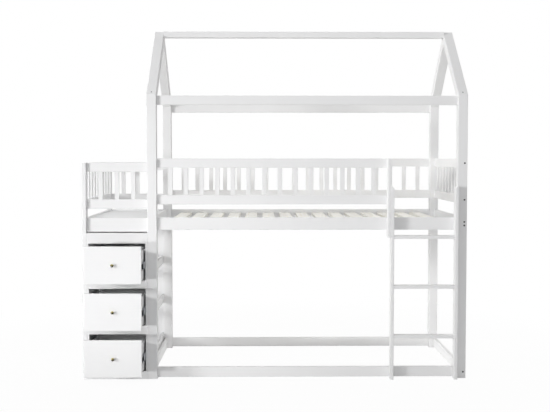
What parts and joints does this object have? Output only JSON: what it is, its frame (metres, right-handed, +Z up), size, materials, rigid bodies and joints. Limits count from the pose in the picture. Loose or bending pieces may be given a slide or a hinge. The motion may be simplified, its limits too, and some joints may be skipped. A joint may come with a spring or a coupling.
{
  "type": "bunk bed",
  "caption": "White wooden bunk bed with a house-shaped roof frame, baluster guards, slatted upper bunk, ladder and a railed platform over a chest of sliding drawers.",
  "frame": {"origin": "on the floor, in the middle of the part's box with the drawers pulled out as in the picture", "axes": "+X along the bed towards the ladder end, -Y towards the front with the drawers, +Z up"},
  "size_m": [2.405, 1.2895, 2.233],
  "materials": {
    "white_painted_wood": "satin paint",
    "pine_slats": "planed, unfinished",
    "brass_knobs": "polished",
    "zinc_plated_steel": "zinc plated",
    "black_oxide_bolts": "black oxide"
  },
  "bodies": {
    "frame": {"post_front_left": "white_painted_wood", "post_front_right": "white_painted_wood", "post_rear_left": "white_painted_wood", "post_rear_right": "white_painted_wood", "rafters_left": "white_painted_wood", "rafters_right": "white_painted_wood", "ridge_beam": "white_painted_wood", "eave_beams": "white_painted_wood", "side_rail_front": "white_painted_wood", "side_rail_rear": "white_painted_wood", "end_rails": "white_painted_wood", "slat_ledgers": "white_painted_wood", "floor_side_rails": "white_painted_wood", "floor_end_rails": "white_painted_wood", "front_guard_rails": "white_painted_wood", "front_guard_balusters": "white_painted_wood", "front_guard_stile": "white_painted_wood", "rear_guard_rails": "white_painted_wood", "rear_guard_balusters": "white_painted_wood", "end_guard_rails": "white_painted_wood", "end_guard_balusters": "white_painted_wood", "ladder_stringer_left": "white_painted_wood", "ladder_stringer_right": "white_painted_wood", "ladder_rungs": "white_painted_wood", "tower_leg_front": "white_painted_wood", "tower_leg_rear": "white_painted_wood", "tower_aprons": "white_painted_wood", "tower_deck": "white_painted_wood", "deck_cleats": "white_painted_wood", "tower_guard_rails": "white_painted_wood", "tower_guard_balusters": "white_painted_wood", "chest_sides": "white_painted_wood", "chest_top": "white_painted_wood", "chest_back": "white_painted_wood", "chest_face_rails": "white_painted_wood", "tower_stretchers": "white_painted_wood", "tower_back_panel": "white_painted_wood", "bed_slats": "pine_slats", "slide_outer_members": "zinc_plated_steel", "frame_bolts": "black_oxide_bolts", "barrel_nuts": "zinc_plated_steel"},
    "drawer_bottom": {"drawer_front_bottom": "white_painted_wood", "drawer_box_bottom": "white_painted_wood", "drawer_bottom_bottom": "white_painted_wood", "drawer_knob_bottom": "brass_knobs", "slide_inner_bottom": "zinc_plated_steel"},
    "slide_members_bottom": {"slide_middle_bottom": "zinc_plated_steel"},
    "drawer_middle": {"drawer_front_middle": "white_painted_wood", "drawer_box_middle": "white_painted_wood", "drawer_bottom_middle": "white_painted_wood", "drawer_knob_middle": "brass_knobs", "slide_inner_middle": "zinc_plated_steel"},
    "slide_members_middle": {"slide_middle_middle": "zinc_plated_steel"},
    "drawer_top": {"drawer_front_top": "white_painted_wood", "drawer_box_top": "white_painted_wood", "drawer_bottom_top": "white_painted_wood", "drawer_knob_top": "brass_knobs", "slide_inner_top": "zinc_plated_steel"},
    "slide_members_top": {"slide_middle_top": "zinc_plated_steel"}
  },
  "joints": [
    {"name": "drawer_bottom_slide", "type": "slide", "parent": "frame", "child": "drawer_bottom", "axis": [0, -1, 0], "range_m": [-0.195, 0.2]},
    {"name": "slide_members_bottom_slide", "type": "slide", "parent": "frame", "child": "slide_members_bottom", "axis": [0, -1, 0], "range_m": [-0.0975, 0.1]},
    {"name": "drawer_middle_slide", "type": "slide", "parent": "frame", "child": "drawer_middle", "axis": [0, -1, 0], "range_m": [-0.195, 0.2]},
    {"name": "slide_members_middle_slide", "type": "slide", "parent": "frame", "child": "slide_members_middle", "axis": [0, -1, 0], "range_m": [-0.0975, 0.1]},
    {"name": "drawer_top_slide", "type": "slide", "parent": "frame", "child": "drawer_top", "axis": [0, -1, 0], "range_m": [-0.195, 0.2]},
    {"name": "slide_members_top_slide", "type": "slide", "parent": "frame", "child": "slide_members_top", "axis": [0, -1, 0], "range_m": [-0.0975, 0.1]}
  ],
  "couplings": [
    {"joint": "slide_members_bottom_slide", "follows": "drawer_bottom_slide", "ratio": 0.5},
    {"joint": "slide_members_middle_slide", "follows": "drawer_middle_slide", "ratio": 0.5},
    {"joint": "slide_members_top_slide", "follows": "drawer_top_slide", "ratio": 0.5}
  ]
}
